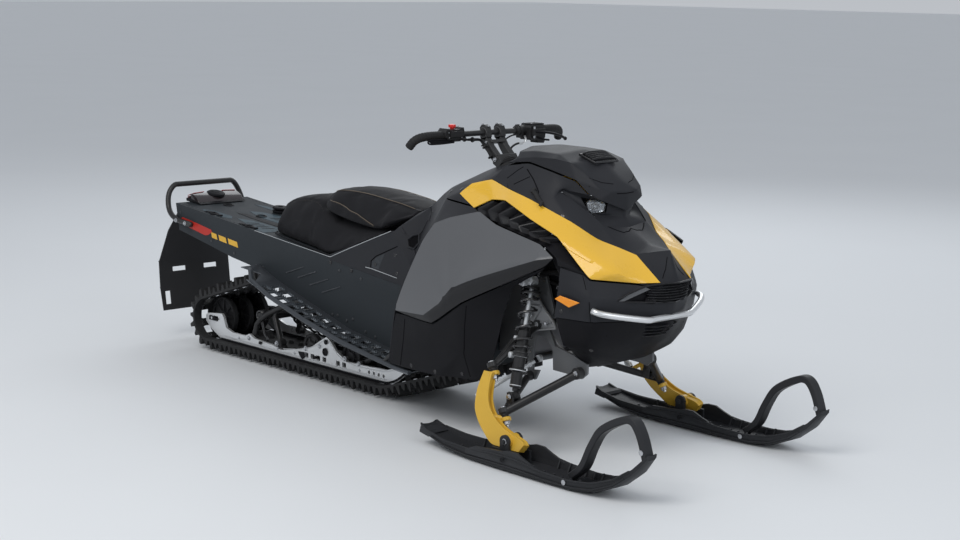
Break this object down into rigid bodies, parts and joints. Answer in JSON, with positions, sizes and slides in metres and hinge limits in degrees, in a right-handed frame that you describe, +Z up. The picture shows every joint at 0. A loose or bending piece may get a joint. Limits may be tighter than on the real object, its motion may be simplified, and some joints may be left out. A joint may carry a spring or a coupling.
{
  "type": "snowmobile",
  "caption": "Mountain snowmobile with a long lugged track, twin steered skis on double arms, stepped seat, riser handlebar and faceted body panels.",
  "frame": {"origin": "on the ground, below the middle of the machine's overall length and width", "axes": "+X forward along the machine, +Y to the rider's left, +Z up"},
  "size_m": [3.232, 1.058, 1.124],
  "materials": {
    "tunnel_sheet": "satin black coated aluminium sheet",
    "board_sheet": "satin grey-black sheet",
    "black_tube": "satin powder coat",
    "flap": "matt flexible sheet",
    "lamp_housing": "smoked lamp housing",
    "seat_cover": "matt grained vinyl",
    "black_plastic": "moulded, fine texture",
    "body_black": "satin moulded",
    "lamp_lens": "clear lens",
    "yellow_plastic": "gloss moulded",
    "grey_plastic": "satin moulded",
    "silver_tube": "satin silver",
    "amber_reflector": "prismatic amber",
    "grey_casting": "satin grey casting",
    "engine_metal": "cast",
    "track_rubber": "matt moulded rubber",
    "black_metal": "satin black",
    "rail_alloy": "satin anodised",
    "wheel_plastic": "moulded wheel with rubber tread",
    "shock_black": "satin black damper and spring",
    "yellow_casting": "gloss painted casting",
    "bright_rod": "bright steel",
    "ski_plastic": "moulded ski plastic",
    "grip_rubber": "soft rubber",
    "control_plastic": "moulded"
  },
  "bodies": {
    "chassis": {"tunnel": "tunnel_sheet", "running_boards": "board_sheet", "rear_bumper": "black_tube", "snow_flap": "flap", "tail_light": "lamp_housing", "seat_rear": "seat_cover", "seat_front": "seat_cover", "fuel_tank": "black_plastic", "console": "body_black", "windshield": "body_black", "hood": "body_black", "headlights": "lamp_lens", "upper_panels": "yellow_plastic", "side_vents": "black_plastic", "side_panels": "grey_plastic", "lower_panels": "black_plastic", "side_covers": "body_black", "nose_cowl": "body_black", "belly_pan": "black_plastic", "grille": "black_plastic", "front_bumper": "silver_tube", "front_reflectors": "amber_reflector", "bulkhead": "grey_casting", "engine": "engine_metal", "track": "track_rubber", "drive_axle": "black_metal", "skid_rails": "rail_alloy", "rear_axle": "wheel_plastic", "idler_wheels": "wheel_plastic", "skid_linkage": "black_metal", "upper_arms": "black_metal", "lower_arms": "black_metal", "front_shocks": "shock_black"},
    "steering": {"steering_post": "black_metal", "handlebar": "black_metal", "grips": "grip_rubber", "throttle_block": "control_plastic", "brake_control": "control_plastic"},
    "knuckle_right": {"spindle_right": "yellow_casting"},
    "knuckle_left": {"spindle_left": "yellow_casting"},
    "link_right": {"tie_rod_right": "bright_rod"},
    "link_left": {"tie_rod_left": "bright_rod"},
    "runner_right": {"ski_right": "ski_plastic"},
    "runner_left": {"ski_left": "ski_plastic"}
  },
  "joints": [
    {"name": "handlebar_turn", "type": "hinge", "parent": "chassis", "child": "steering", "pos_m": [0.459, 0, 0.979], "axis": [-0.5447, 0, 0.8386], "range_deg": [-35, 35]},
    {"name": "knuckle_right_turn", "type": "hinge", "parent": "chassis", "child": "knuckle_right", "pos_m": [0.908, -0.41, 0.142], "axis": [-0.4778, 0.1075, 0.8719], "range_deg": [-31, 31]},
    {"name": "knuckle_left_turn", "type": "hinge", "parent": "chassis", "child": "knuckle_left", "pos_m": [0.908, 0.41, 0.142], "axis": [-0.4778, -0.1075, 0.8719], "range_deg": [-31, 31]},
    {"name": "link_right_swing", "type": "hinge", "parent": "knuckle_right", "child": "link_right", "pos_m": [0.752, -0.392, 0.196], "axis": [-0.4778, 0.1075, 0.8719], "range_deg": [-31, 31]},
    {"name": "link_left_swing", "type": "hinge", "parent": "knuckle_left", "child": "link_left", "pos_m": [0.752, 0.392, 0.196], "axis": [-0.4778, -0.1075, 0.8719], "range_deg": [-31, 31]},
    {"name": "ski_right_pitch", "type": "hinge", "parent": "knuckle_right", "child": "runner_right", "pos_m": [0.985, -0.457, 0.092], "axis": [0, 1, 0], "range_deg": [-12, 12]},
    {"name": "ski_left_pitch", "type": "hinge", "parent": "knuckle_left", "child": "runner_left", "pos_m": [0.985, 0.457, 0.092], "axis": [0, 1, 0], "range_deg": [-12, 12]}
  ],
  "couplings": [
    {"joint": "knuckle_right_turn", "follows": "handlebar_turn", "ratio": 0.85},
    {"joint": "knuckle_left_turn", "follows": "handlebar_turn", "ratio": 0.85},
    {"joint": "link_right_swing", "follows": "handlebar_turn", "ratio": -0.85},
    {"joint": "link_left_swing", "follows": "handlebar_turn", "ratio": -0.85}
  ]
}
